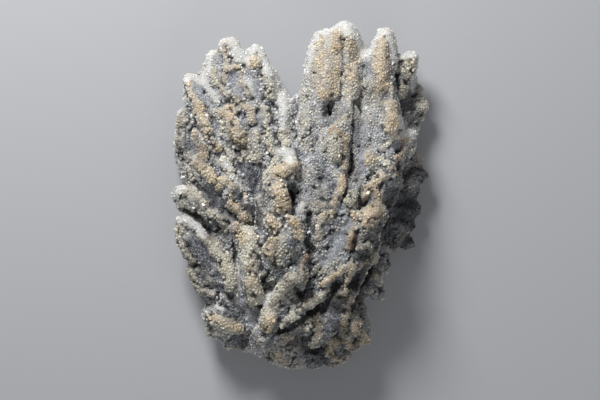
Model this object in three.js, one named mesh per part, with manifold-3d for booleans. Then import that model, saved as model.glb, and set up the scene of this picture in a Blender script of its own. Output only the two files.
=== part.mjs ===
// A hand-sized calcite specimen: two fans of blade-shaped crystals that grew from one root
// and were then coated all over with fine druse. The crystals overlap, so they are one solid.
//
// Millimetres, +Z up. The specimen lies on its back, which is cut off flat: the fans spread
// towards +Y, the broken root is at the low-Y end, and the crystal faces look up. The group's
// origin is the middle of the specimen's box, on the plane that it rests on. The tables below
// measure Y from the root's lowest point, and X from about the middle of the specimen.
import * as THREE from 'three';
import { mergeVertices } from 'three/addons/utils/BufferGeometryUtils.js';
import Module from 'manifold-3d';

const wasm = await Module();
wasm.setup();

// ---- Driving dimensions -----------------------------------------------------------------

const CRYSTAL_SIDES = 6; // calcite's threefold habit gives a six-sided blade
const SIDE_REACH = Math.sin(Math.PI / 3); // how far a six-sided ring reaches sideways
const ROUGHNESS = 0.07; // how far a coated face strays, as a share of the crystal's radius
const LEAN = 0.3; // how far a crystal's crest may turn away from straight up, in radians
const ROOT_NECK = 0.22; // where along a blade its narrow root ends
const NECK_WIDTH = 0.8; // the width there, as a share of the blade's
const LONGEST_POINT = 0.7; // a short crystal's point takes up no more of its length than this
const REST_PLANE = 3.2; // the specimen is cut off flat here
const TRIM_SIZE = 200; // the cutter below the rest plane, wider than the specimen

// A crystal's blunt point: [how far back from the tip in widths, share of the full width].
const POINT = [
  [1.4, 1],
  [0.65, 0.8],
  [0.16, 0.44],
];

// ---- What grew --------------------------------------------------------------------------

// Long blades that radiate from the middle of each fan: [tip, start, width, depth], where
// start is how far from the middle to the tip the blade begins.
const LEFT_FAN = {
  middle: [-12, 14, 11],
  blades: [
    [[-5.4, 80.4, 10], 0.35, 7.5, 12],
    [[-9.6, 86.8, 11], 0.35, 8, 11],
    [[-13.3, 93.2, 12], 0.3, 8.5, 11],
    [[-21.2, 95.4, 12], 0.25, 11.5, 11],
    [[-25.4, 91.6, 11], 0.3, 9.5, 10],
    [[-27.4, 87.6, 10], 0.3, 8, 10],
    [[-32.0, 85.0, 11], 0.25, 8.5, 10],
    [[-34.8, 74.6, 9], 0.3, 8.5, 10],
    [[-35.6, 68.4, 9], 0.3, 8.5, 10],
    [[-33.8, 61.4, 9], 0.3, 8, 10],
    [[-31.6, 55.6, 9], 0.3, 7, 9],
    [[-35.6, 43.2, 14], 0.25, 12, 11],
    [[-32.4, 30.8, 11], 0.25, 9, 11],
    [[-30.4, 24.2, 10], 0.25, 8, 10],
    [[-29.0, 16.6, 11], 0.2, 8.5, 10],
    [[-28.0, 11.0, 9], 0.2, 8.5, 11],
    [[-22.8, 6.8, 9], 0.1, 8.5, 11],
    [[-17.4, 5.2, 10], 0.0, 9, 11],
  ],
};

const RIGHT_FAN = {
  middle: [2, 24, 14],
  blades: [
    [[-1.6, 78.6, 11], 0.2, 8, 12],
    [[3.2, 85.6, 12], 0.2, 8, 13],
    [[5.9, 97.2, 14], 0.15, 9.5, 14],
    [[9.2, 97.6, 15], 0.2, 9, 14],
    [[12.3, 99.6, 15], 0.2, 9, 14],
    [[16.2, 93.6, 13], 0.25, 8.5, 13],
    [[19.4, 86.4, 11], 0.3, 7, 12],
    [[26.6, 86.6, 12], 0.35, 6.5, 12],
    [[26.4, 78.4, 19], 0.2, 9, 14],
    [[28.8, 72.6, 16], 0.2, 8, 13],
    [[32.2, 68.6, 14], 0.3, 7, 10],
  ],
};

// Shorter crystals that lie on the blades and stand a little above them:
// [root, tip, width, depth].
const LEFT_RIDGES = [
  [[-18.5, 46, 12], [-31.4, 82.4, 13], 6, 8],
  [[-20, 42, 12], [-34.6, 67.0, 11.5], 6, 7],
  [[-14, 70, 15], [-19.8, 89.5, 13.5], 4, 5],
  [[-13, 50, 13], [-19.6, 77.5, 15], 6, 7],
  [[-15, 60, 16], [-18.8, 72, 17.5], 4.5, 5],
  [[-11.5, 46, 14], [-14.6, 88.8, 13.5], 5, 7],
  [[-9, 42, 15], [-10.8, 88, 13], 5, 8],
  [[-8, 40, 15], [-5.6, 78, 13.5], 6, 9],
  [[-12, 36, 14], [-16.8, 63.5, 15], 5.5, 8],
  [[-13, 36, 13], [-24.8, 70.0, 13.5], 8, 9],
  [[-15.5, 38, 16], [-21.6, 56.4, 19.5], 6.5, 7],
  [[-17, 48, 16], [-22.6, 60.8, 18.5], 4, 5],
  [[-20, 43, 13], [-30.4, 62.0, 17], 6, 7],
  [[-23.5, 55, 14], [-28.0, 72.5, 16.5], 5, 6],
  [[-16, 34, 14], [-25.6, 50.4, 15.5], 6, 8],
  [[-12, 14, 18], [-14.8, 40.4, 23], 8, 9],
  [[-14.5, 26, 17], [-19.3, 46.6, 19.5], 4.5, 6],
  [[-14, 14, 14], [-26.8, 37.4, 17], 9, 9],
  [[-15, 12, 12], [-31.6, 30.0, 13.5], 6, 8],
  [[-13, 11, 15], [-28.4, 16.6, 16], 6, 7],
  [[-18, 38, 12], [-36.9, 51.6, 13.5], 9.5, 11],
];

const MIDDLE_RIDGES = [
  [[-8, 38, 17], [-3.2, 65.2, 23], 8, 10],
  [[-9, 36, 20], [-2.2, 60.4, 26], 6.5, 9],
  [[-11, 36, 18], [-8.4, 57.4, 25], 7, 9],
  [[-9.5, 28, 20], [-5.2, 53.4, 27.5], 6.5, 9],
  [[-9, 22, 20], [-7.8, 45.4, 28.5], 6.5, 9],
  [[-6, 22, 21], [-1.6, 44.8, 29.5], 6.5, 9],
  [[-10.5, 10, 19], [1.2, 30.0, 29], 6, 9],
  [[-9, 7, 19], [2.2, 20.4, 27], 5.5, 9],
  [[-13, 5, 16], [-8.4, 16.0, 24], 6.5, 8],
];

const RIGHT_RIDGES = [
  [[5, 55, 20], [8.0, 90.0, 18.5], 6.5, 8],
  [[9, 60, 19], [14.0, 87.0, 19], 5.5, 7],
  [[2, 45, 20], [1.6, 76.4, 17], 7, 8],
  [[7, 42, 22], [13.6, 78.0, 20.5], 6, 9],
  [[19.6, 58, 18], [24.0, 97.7, 15.5], 8.5, 13],
  [[21, 74, 13], [32.6, 90.8, 13.5], 8.5, 9],
  [[18.5, 60, 20], [22.4, 85.5, 19], 6, 7],
  [[12, 40, 20], [20.6, 75.5, 20.5], 8, 9],
  [[12, 36, 21], [20.0, 64.0, 24.5], 7, 9],
  [[14, 36, 20], [25.2, 64.5, 22.5], 8, 10],
  [[3, 30, 21], [9.4, 70.0, 25.5], 9.5, 10],
  [[1, 30, 21], [4.0, 62.0, 24], 8, 9],
  [[12, 34, 22], [24.0, 56.6, 25.5], 7, 9],
  [[16, 38, 18], [28.0, 56.0, 20], 7, 9],
  [[5, 24, 22], [11.6, 58.0, 28], 7, 9],
  [[3, 22, 22], [6.6, 54.0, 28], 7, 9],
  [[0, 22, 21], [1.6, 50.0, 27], 6.5, 9],
  [[9, 28, 22], [15.0, 53.0, 28.5], 5, 8],
  [[9, 26, 22], [22.4, 47.4, 29.5], 8.5, 10],
  [[1, 12, 20], [15.6, 46.6, 27], 11, 8],
  [[8, 20, 20], [21.4, 38.4, 25], 8, 10],
  [[6, 16, 20], [18.6, 30.6, 23], 6.5, 9],
];

// Crystals that point down and outwards at the foot of the right fan.
const FOOT = [
  [[3, 20, 17], [1.0, 10.4, 25], 5.5, 7],
  [[5, 18, 15], [3.4, 6.2, 22.5], 6, 8],
  [[8, 24, 17], [8.4, 10.0, 24.5], 8, 8],
  [[11, 22, 15], [13.8, 9.6, 20.5], 6, 8],
  [[10, 20, 12], [15.8, 5.0, 16], 7, 9],
  [[12, 24, 12], [18.4, 7.0, 13], 7.5, 9],
  [[10, 24, 14], [18.0, 13.6, 15], 7, 9],
  [[8, 18, 11], [13.0, 2.4, 11], 8, 10],
  [[5, 16, 11], [9.4, 0.4, 12.5], 9, 10],
  [[2, 14, 11], [3.4, -0.4, 11.5], 9, 10],
  [[-2, 14, 11], [-2.6, -0.2, 12], 9, 10],
  [[-5, 14, 11], [-8.4, 1.2, 12.5], 9, 10],
  [[-8, 14, 11], [-13.0, 3.8, 12], 9, 10],
  [[-4, 15, 14], [-4.4, 4.6, 20], 8, 8],
  [[10, 28, 12], [17.6, 19.6, 13], 8, 10],
];

// Low crystals that point away behind the right fan.
const REAR = {
  middle: [8, 46, 9],
  blades: [
    [[32.4, 84.8, 9], 0.2, 7, 8],
    [[34.2, 81.4, 8], 0.25, 7.5, 8],
    [[35.2, 76.8, 9], 0.25, 9, 9],
    [[34.2, 72.2, 8.5], 0.25, 8, 9],
    [[33.0, 67.0, 9], 0.2, 8, 10],
    [[34.6, 61.0, 10], 0.2, 7.5, 9],
    [[36.4, 56.4, 10], 0.2, 8, 9],
    [[34.4, 51.4, 9], 0.15, 9.5, 10],
    [[34.8, 45.8, 9], 0.15, 10, 10],
    [[33.0, 40.6, 9], 0.1, 9, 10],
    [[32.8, 35.2, 7.5], 0.2, 6, 6],
    [[27.0, 33.4, 10], 0.05, 9, 11],
    [[25.2, 27.0, 10], 0.05, 9, 11],
    [[22.6, 19.4, 13], 0.05, 8.5, 10],
  ],
};

// The grown-together mass inside the fans: [middle, radii].
const ROOT_MASS = [
  [[-13, 38, 9], [14, 28, 9]],
  [[5, 44, 12], [17, 32, 12]],
  [[-3, 17, 11], [15, 14, 12]],
  [[7, 18, 11], [10, 14, 11]],
];

// Slits that the druse never bridged: [one end, other end, width, depth].
const GAPS = [
  [[7.9, 78.4, 23], [6.6, 70.4, 21], 2.6, 9],
  [[-3.4, 52.6, 31], [-1.9, 45.0, 27], 3.2, 18],
];

// ---- Solids -----------------------------------------------------------------------------

// A repeatable number from -1 to 1 for the n-th thing.
function scatter(n) {
  const s = Math.sin(n * 127.1 + 311.7) * 43758.5453;
  return 2 * (s - Math.floor(s)) - 1;
}

// A closed three.js geometry as a manifold-3d solid.
function solidOf(geometry) {
  geometry.deleteAttribute('normal');
  geometry.deleteAttribute('uv');
  const merged = mergeVertices(geometry, 1e-4);
  const corners = [];
  for (let i = 0; i < merged.index.count; i += 3) {
    const [a, b, c] = merged.index.array.slice(i, i + 3);
    if (a !== b && b !== c && a !== c) corners.push(a, b, c);
  }
  return new wasm.Manifold(new wasm.Mesh({
    numProp: 3,
    vertProperties: new Float32Array(merged.attributes.position.array),
    triVerts: new Uint32Array(corners),
  }));
}

// A crystal's half-section from root to tip, as [radius, distance from the root].
function section(length, width) {
  const reach = Math.min(1, (LONGEST_POINT * length) / (POINT[0][0] * width));
  return [
    [0, 0],
    [NECK_WIDTH, ROOT_NECK * length],
    ...POINT.map(([back, share]) => [share, length - back * width * reach]),
    [0, length],
  ].map(([share, along]) => new THREE.Vector2(share, along));
}

// Moves each vertex of a crystal in or out a little, alike for vertices that coincide.
function roughen(geometry, seed) {
  const place = geometry.attributes.position;
  for (let i = 0; i < place.count; i++) {
    const key = Math.round(place.getX(i) * 10) + Math.round(place.getY(i) * 10) * 7
      + Math.round(place.getZ(i) * 10) * 13;
    const share = 1 + ROUGHNESS * scatter(seed + key);
    place.setXYZ(i, place.getX(i) * share, place.getY(i), place.getZ(i) * share);
  }
  return geometry;
}

// One crystal, with a crest along its upper side.
function crystal(root, tip, width, depth, seed) {
  const axis = tip.clone().sub(root);
  const length = axis.length();
  axis.normalize();
  const side = new THREE.Vector3().crossVectors(axis, new THREE.Vector3(0, 0, 1)).normalize();
  const crest = new THREE.Vector3().crossVectors(side, axis);
  side.applyAxisAngle(axis, LEAN * scatter(seed));
  crest.applyAxisAngle(axis, LEAN * scatter(seed));

  const spindle = roughen(new THREE.LatheGeometry(section(length, width), CRYSTAL_SIDES), seed);
  spindle.scale(width / 2 / SIDE_REACH, 1, depth / 2);
  spindle.applyMatrix4(new THREE.Matrix4().makeBasis(side, axis, crest).setPosition(root));
  return solidOf(spindle);
}

function fan({ middle, blades }, seed) {
  const from = new THREE.Vector3(...middle);
  return blades.map(([tip, start, width, depth], i) => {
    const end = new THREE.Vector3(...tip);
    return crystal(from.clone().lerp(end, start), end, width, depth, seed + i);
  });
}

function ridges(rows, seed) {
  return rows.map(([root, tip, width, depth], i) => (
    crystal(new THREE.Vector3(...root), new THREE.Vector3(...tip), width, depth, seed + i)));
}

function lump([middle, radii]) {
  const ball = new THREE.IcosahedronGeometry(1, 1);
  ball.scale(...radii).translate(...middle);
  return solidOf(ball);
}

function belowRestPlane() {
  const box = new THREE.BoxGeometry(TRIM_SIZE, TRIM_SIZE, TRIM_SIZE);
  return solidOf(box.translate(0, 0, REST_PLANE - TRIM_SIZE / 2));
}

function geometryOf(solid) {
  const mesh = solid.getMesh();
  return new THREE.BufferGeometry()
    .setAttribute('position', new THREE.BufferAttribute(new Float32Array(mesh.vertProperties), 3))
    .setIndex(new THREE.BufferAttribute(new Uint32Array(mesh.triVerts), 1));
}

// ---- The specimen -----------------------------------------------------------------------

const grown = [
  ...ROOT_MASS.map(lump),
  ...fan(LEFT_FAN, 100),
  ...fan(RIGHT_FAN, 200),
  ...fan(REAR, 300),
  ...ridges(LEFT_RIDGES, 400),
  ...ridges(MIDDLE_RIDGES, 500),
  ...ridges(RIGHT_RIDGES, 600),
  ...ridges(FOOT, 700),
].reduce((whole, piece) => whole.add(piece));

const trimmed = [...ridges(GAPS, 800), belowRestPlane()]
  .reduce((whole, cutter) => whole.subtract(cutter), grown);

// Crystals that close over a hollow fill it, so only the outer surface is kept.
const specimen = trimmed.decompose().reduce((a, b) => (a.volume() > b.volume() ? a : b));

const geometry = geometryOf(specimen);
geometry.computeVertexNormals();
geometry.computeBoundingBox();
const middle = geometry.boundingBox.getCenter(new THREE.Vector3());

const calcite = new THREE.MeshStandardMaterial({
  color: new THREE.Color(0.78, 0.74, 0.66),
  roughness: 0.62,
  metalness: 0,
});

const cluster = new THREE.Mesh(geometry, calcite);
cluster.name = 'crystal_cluster';
cluster.position.set(-middle.x, -middle.y, -REST_PLANE);

const group = new THREE.Group();
group.add(cluster);

export default group;
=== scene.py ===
# A hand-sized calcite specimen, lying on its back: two fans of blade-shaped crystals that
# share one root, under a coat of fine druse. Metres, +Z up, +Y from root to crystal tips.
import math

import bmesh
import bpy
import numpy as np
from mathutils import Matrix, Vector, noise


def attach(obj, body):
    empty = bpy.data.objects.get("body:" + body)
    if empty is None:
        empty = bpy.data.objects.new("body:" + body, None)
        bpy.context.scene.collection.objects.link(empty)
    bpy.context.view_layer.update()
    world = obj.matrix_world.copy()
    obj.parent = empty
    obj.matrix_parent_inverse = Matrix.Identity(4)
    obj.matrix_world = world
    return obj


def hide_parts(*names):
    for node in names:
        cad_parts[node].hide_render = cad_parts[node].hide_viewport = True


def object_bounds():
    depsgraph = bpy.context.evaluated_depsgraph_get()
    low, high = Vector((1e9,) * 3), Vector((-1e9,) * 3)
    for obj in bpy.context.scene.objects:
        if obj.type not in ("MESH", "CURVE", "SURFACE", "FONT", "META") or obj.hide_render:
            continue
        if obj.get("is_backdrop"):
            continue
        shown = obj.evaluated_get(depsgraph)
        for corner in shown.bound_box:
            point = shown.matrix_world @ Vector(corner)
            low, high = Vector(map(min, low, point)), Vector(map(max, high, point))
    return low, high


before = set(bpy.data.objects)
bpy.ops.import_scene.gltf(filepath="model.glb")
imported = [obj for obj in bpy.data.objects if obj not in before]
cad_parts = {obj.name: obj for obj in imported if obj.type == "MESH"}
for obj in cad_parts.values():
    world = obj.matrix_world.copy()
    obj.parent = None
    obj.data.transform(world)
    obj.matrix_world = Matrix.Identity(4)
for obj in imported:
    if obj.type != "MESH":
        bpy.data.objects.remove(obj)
cad_low, cad_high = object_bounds()
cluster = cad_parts["crystal_cluster"]

# ---- The body of blades ---------------------------------------------------------------------
# The specimen's body: blades of calcite that radiate from a broken root and grew into each
# other. Ribs, knobs and hollows stand on the blades, and the first layer of druse has rounded
# them off, so the body is one continuous rough skin.

MM = 0.001
LEFT_HALF = 36.954  # mm from the blades' left edge to X = 0 in the tables below
ROOT_EDGE = 0.4  # mm from the root's lowest edge to their Y = 0
MIDDLE_X = cad_low[0] / MM + LEFT_HALF  # that X = 0 in the frame, in mm
FOOT_Y = cad_low[1] / MM + ROOT_EDGE  # that Y = 0 in the frame, in mm

# The skin is made twice: a rough one takes the ribs and crests, a finer one the small relief.
ROUNDING_VOXEL = 0.6 * MM
ROUNDING_PASSES = 6
SKIN_VOXEL = 0.52 * MM
SKIN_PASSES = 1
BROAD_PASSES = 70  # evening that leaves only the blades' own shape
FROST_PASSES = 12  # evening under the frost
FINE_PASSES = 10  # evening that leaves out the druse's clumps and pits

# The two fans' middles, in the frame: ribs radiate from them.
LEFT_MIDDLE = np.array([-12 + MIDDLE_X, 14 + FOOT_Y, 7.8])
RIGHT_MIDDLE = np.array([2 + MIDDLE_X, 24 + FOOT_Y, 10.8])
FAN_SEAM = (-7.0, 1.0)  # X over which one fan's growth hands over to the other's
RIB_TURN = 17.0  # ribs per radian or so

# Sizes of the relief, in millimetres.
RIB_LENGTH = 9.0
RIB_HEIGHT = 0.40
KNOB_SIZE = 3.4
KNOB_HEIGHT = 0.15
CLUMP_SIZE = 1.9
CLUMP_HEIGHT = 0.22
CREVICE_DEPTH = 0.38
PIT_DEPTH = 0.6
BARE_DEPTH = 0.35  # how far a bare face lies below the druse
BARE_RAGGED = 0.12  # how rough it is
TABLE_RUFFLE = 0.55  # how far the tables' outlines wander

# Growth lines on the bare faces: how tightly they are packed, and the face with the clearest.
LINES_ACROSS = 70  # for each radian around the fan's middle
LINES_UP = 20
LINES_ALONG = 0.12  # for each millimetre, so they are long
LINED_FACE = [(-17, 61), (-12, 49)]

# What stands on the blades, seen from above: (half width, height, points along it), all in
# millimetres, with X and Y from the two places above. Tan crests carry iron-tinted grains,
# cream ones cream grains, white ones a thin white coat and painted rim glow, and plain ones
# whatever the blade around them carries.
TAN_CRESTS = [
    # left fan
    (1.5, 1.1, [(-32.4, 83), (-31, 78.5), (-29.6, 74.5), (-28.2, 71), (-26.6, 67.5)]),
    (2.0, 1.2, [(-29.6, 75.5), (-28.2, 72)]),
    (1.6, 0.9, [(-30.5, 67), (-29, 64), (-27.8, 61.5)]),
    (1.5, 0.8, [(-26, 66.5), (-24, 63.5)]),
    (1.8, 1.2, [(-29.5, 59.5), (-27.2, 56.8), (-25, 54.3), (-23.6, 52.5)]),
    (1.3, 0.9, [(-22.3, 53.8), (-20, 52.7), (-17.8, 51.6)]),
    (0.8, 0.8, [(-20.3, 51), (-19.8, 48), (-19.6, 46)]),
    (0.7, 0.8, [(-16.2, 50.5), (-16, 47)]),
    (0.9, 0.7, [(-22, 92), (-21.8, 89), (-21.4, 86.3)]),
    (0.8, 0.9, [(-21.6, 85.6), (-20, 85.9), (-18, 85.7), (-17, 84.8)]),
    (0.9, 0.8, [(-22.3, 84), (-22, 79.5)]),
    (0.9, 0.8, [(-18, 84.2), (-16.8, 81), (-15.3, 77.5)]),
    (2.2, 1.0, [(-13.8, 87.3)]),
    (1.4, 0.9, [(-17, 75.7), (-14.9, 74.3), (-14.2, 71)]),
    (2.2, 1.3, [(-21, 73.5), (-19.7, 71.5), (-18.8, 68.5), (-17.6, 66)]),
    (1.0, 0.75, [(-26, 15.3), (-23.5, 14.3), (-20.5, 13.1), (-18, 12.3)]),
    (1.5, 0.6, [(-14.6, 30), (-13.8, 26)]),
    (1.5, 1.1, [(-18.6, 46), (-17.2, 44.4), (-15.6, 43.2)]),
    (1.5, 1.2, [(-18.8, 40.6), (-17.8, 39), (-16.8, 37.4)]),
    # the chain of knobs between the fans
    (1.9, 1.4, [(-2.6, 58.3), (-4.5, 57.2), (-6.8, 55.3)]),
    (2.2, 1.4, [(-6.6, 51.5), (-5.6, 49), (-5, 46.5)]),
    (1.7, 1.1, [(-8.6, 43), (-7.6, 40.5), (-8.4, 37), (-8.7, 34)]),
    (1.4, 1.2, [(-3.4, 43.2), (-1.6, 41.6), (-0.6, 38.6)]),
    (0.9, 0.9, [(1.2, 33), (0, 30.5), (-1.5, 28)]),
    (1.6, 1.2, [(-8.2, 15.5), (-10.2, 12.6)]),
    # right fan
    (1.5, 0.9, [(9, 95), (9.3, 90), (9.4, 85), (9.2, 79)]),
    (2.6, 0.7, [(5.6, 92.5), (6.2, 88), (6.6, 83), (7, 79)]),
    (1.5, 1.1, [(13.8, 85), (13.9, 83.2)]),
    (1.1, 0.6, [(14.8, 88.5), (15.2, 85)]),
    (2.3, 0.45, [(13.5, 93), (14.4, 88), (14, 82)]),
    (2.0, 1.1, [(23.6, 95.5), (22.2, 90), (21.8, 85), (22.3, 80.5)]),
    (1.1, 0.8, [(25, 80), (24.6, 77.6)]),
    (2.1, 1.3, [(24.6, 74.8), (25.3, 71.5), (25.2, 68.5)]),
    (1.5, 0.9, [(31.8, 89), (30, 87.5), (28.4, 88)]),
    (0.8, 1.0, [(7.5, 67.3), (8.8, 68.4), (10.6, 67.3), (11.9, 64.5)]),
    (1.0, 0.8, [(12, 62.5), (11.9, 58)]),
    (1.5, 1.1, [(11.4, 54), (10.8, 51)]),
    (1.2, 0.8, [(9, 47.5), (10.5, 49.5)]),
    (0.9, 0.5, [(4.5, 77.5), (6.5, 78), (7.2, 77)]),
    (1.4, 1.2, [(18.6, 60.2), (17.7, 59.2)]),
    (1.6, 1.3, [(22.3, 54.7), (20.4, 53.8), (18.5, 51.5), (16.8, 49)]),
    (0.8, 0.9, [(26, 60), (27.2, 60.5), (28.4, 62.5), (28.6, 65)]),
    (2.4, 1.6, [(19.8, 45), (18.6, 43)]),
    (1.3, 1.0, [(21, 50), (21.6, 47.5)]),
    (1.1, 1.2, [(14.2, 45), (14.3, 41), (13.6, 37.5), (12.8, 35.5)]),
    (1.4, 1.0, [(14.5, 44.5), (16.5, 44), (19, 46)]),
    (1.3, 0.9, [(8.5, 45.2), (6.5, 44.4), (5, 43)]),
    # foot
    (1.0, 1.1, [(5, 25.3), (8, 26.4), (10.5, 28.6), (12, 30)]),
    (1.1, 1.2, [(14, 31.5), (13.2, 28), (12, 24.5), (11.5, 22.5)]),
    (0.9, 0.9, [(18, 31), (16, 29.6)]),
    (1.2, 1.0, [(13.6, 20.5), (13, 18), (12.3, 16)]),
    (1.0, 1.1, [(3.8, 16.5), (4.6, 13), (4.8, 11)]),
    (1.4, 1.3, [(11, 14.5), (12, 10.5), (13.2, 7.5)]),
    (1.8, 1.2, [(15, 13), (16.6, 10.5), (18, 8.8)]),
    (1.5, 1.1, [(8.6, 8.6), (7.6, 5.5), (9.5, 2.8)]),
    (1.1, 0.7, [(10.5, 2.4), (12.5, 3.3)]),
    (1.3, 0.8, [(-6.8, 9), (-3, 10)]),
    (1.6, 0.8, [(-8.5, 6.5), (-6.8, 4), (-4.5, 2.5)]),
    (1.1, 0.6, [(-1.5, 3), (-0.3, 0.9)]),
]
CREAM_CRESTS = [
    # left fan
    (1.5, 0.6, [(-34, 74), (-34.8, 69.5), (-34.6, 65)]),
    (1.4, 0.6, [(-32.5, 62.5), (-32, 58), (-31, 55)]),
    (1.5, 0.9, [(-22.8, 59), (-20, 57.2)]),
    (0.8, 0.8, [(-21.8, 78), (-20.5, 78.4), (-19, 78), (-18, 76.6)]),
    (1.4, 0.6, [(-25.5, 84.5), (-24.5, 81.5)]),
    (1.4, 0.8, [(-11, 89.5), (-9.8, 86), (-9.3, 82), (-8.6, 77.5)]),
    (1.6, 1.4, [(-26, 15.3), (-23.5, 14.3), (-20.5, 13.1), (-18, 12.3)]),
    (1.3, 0.8, [(-24.2, 73.5), (-23, 70.5), (-22.4, 67)]),
    (1.4, 0.8, [(-10.8, 74), (-10.4, 70), (-9.7, 66.5)]),
    (1.3, 0.7, [(-13.2, 68), (-13, 64), (-12.4, 60)]),
    (1.4, 1.0, [(-17.2, 60.8), (-14.5, 60.6), (-12.2, 60.8)]),
    (1.7, 1.1, [(-9, 64.8), (-8.3, 62)]),
    (1.6, 0.8, [(-7.5, 60), (-9, 55), (-9.7, 51)]),
    (2.0, 1.2, [(-5.2, 67.5), (-4.8, 65)]),
    (1.6, 0.8, [(-21, 66), (-20.3, 62), (-19.5, 59.5)]),
    (1.7, 1.0, [(-35, 50.7), (-32, 51), (-29, 49.6), (-27.3, 47.8)]),
    (1.5, 0.6, [(-34.5, 47.5), (-31.8, 45.5)]),
    (1.2, 0.8, [(-28, 46.8), (-25.5, 45), (-23.8, 43.5)]),
    (1.1, 0.8, [(-34.3, 41.2), (-33.5, 39.8)]),
    (1.2, 0.8, [(-32.6, 38)]),
    (1.1, 0.8, [(-35.3, 40), (-34.6, 36.5), (-32.8, 33.4), (-31, 31)]),
    (0.7, 0.6, [(-31.2, 31.3), (-28.8, 30.6)]),
    (1.1, 0.9, [(-29.8, 39), (-27.6, 37.2), (-26.4, 35.8)]),
    (2.4, 1.3, [(-25.5, 36), (-24.5, 34), (-22, 31.5), (-20.5, 28.5), (-20, 25)]),
    (1.3, 0.7, [(-32, 28.5), (-31, 26), (-29.5, 23)]),
    (1.3, 0.8, [(-30, 23.5), (-27.5, 22.3), (-25.5, 22)]),
    (1.1, 0.7, [(-28, 27), (-26.5, 25.5)]),
    (1.2, 0.7, [(-24.5, 45), (-22.5, 42.5), (-21.5, 40.5)]),
    (1.3, 0.8, [(-12.5, 49), (-11.2, 45), (-11, 42)]),
    (1.4, 0.6, [(-24.5, 11.5), (-21.5, 10)]),
    (2.7, 1.6, [(-15, 39), (-14.7, 34), (-14.9, 29), (-13.8, 24.5), (-13, 21.5)]),
    # the chain of knobs between the fans
    (1.3, 0.8, [(-5.6, 39), (-6, 35), (-6.2, 31.5)]),
    (2.1, 1.7, [(-0.4, 27.2), (-4, 25), (-7.5, 22), (-9.5, 18.5), (-9.8, 14.5)]),
    (1.3, 1.1, [(0, 19), (-2.5, 16.5), (-4.6, 14)]),
    # right fan
    (1.6, 0.6, [(4.2, 94), (3.8, 88), (3.2, 82)]),
    (2.0, 0.4, [(1.2, 78), (0.6, 72), (0.8, 66)]),
    (1.6, 0.7, [(12, 97.4), (14, 94), (15.6, 90)]),
    (2.3, 0.8, [(13.5, 93), (14.4, 88), (14, 82)]),
    (1.3, 0.7, [(14.2, 81.5), (13.4, 77.5)]),
    (1.1, 0.7, [(13.4, 75.5), (13.6, 71.5)]),
    (1.2, 0.8, [(12.6, 71.8), (10.4, 70.2)]),
    (2.4, 0.9, [(8.8, 65), (9.2, 61)]),
    (1.6, 1.0, [(14.2, 50), (13.3, 48)]),
    (1.3, 0.5, [(19.4, 79), (19, 73)]),
    (1.1, 0.7, [(31.6, 86.5), (30.3, 83)]),
    (1.1, 0.7, [(27.3, 85.8), (28.6, 84.6)]),
    (1.3, 0.8, [(28, 81), (28.6, 78)]),
    (1.0, 0.9, [(20.8, 60), (24, 58.8), (26, 56)]),
    (0.9, 0.9, [(28, 66.3), (25, 65.5), (22.6, 62.5)]),
    (1.3, 0.5, [(19.6, 58.4), (21.4, 56)]),
    (1.0, 0.9, [(4.6, 41.5), (4.2, 38.6)]),
    (1.0, 0.9, [(10, 40), (11.6, 39.6)]),
    (1.1, 0.8, [(3.5, 28.5), (5.5, 29.5)]),
    (0.8, 0.6, [(8.2, 28.4), (9.4, 27.6)]),
    (1.2, 0.8, [(23, 46), (22.5, 43.5)]),
    (1.2, 0.9, [(15.8, 35), (18.5, 36.2), (20.5, 33), (20, 31.5)]),
    (0.8, 0.7, [(16, 38.5), (17.5, 39.8), (19.5, 39.8)]),
    # foot and the low crystals behind
    (1.3, 0.9, [(2.8, 20), (5.5, 21.5), (7, 22.5)]),
    (1.1, 0.8, [(1.5, 21.5), (2.4, 18.8)]),
    (1.1, 1.0, [(1.4, 16), (1.3, 12.8)]),
    (1.0, 1.2, [(3.4, 9.7), (2.6, 7.2)]),
    (1.0, 0.8, [(14.8, 16), (16.5, 14)]),
    (1.6, 1.0, [(20.5, 27), (19, 23)]),
    (1.6, 0.8, [(33.3, 79.5)]),
    (1.9, 0.8, [(33.8, 76), (34.4, 75)]),
    (1.2, 0.7, [(31.5, 62), (33.5, 58.5)]),
]
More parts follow.
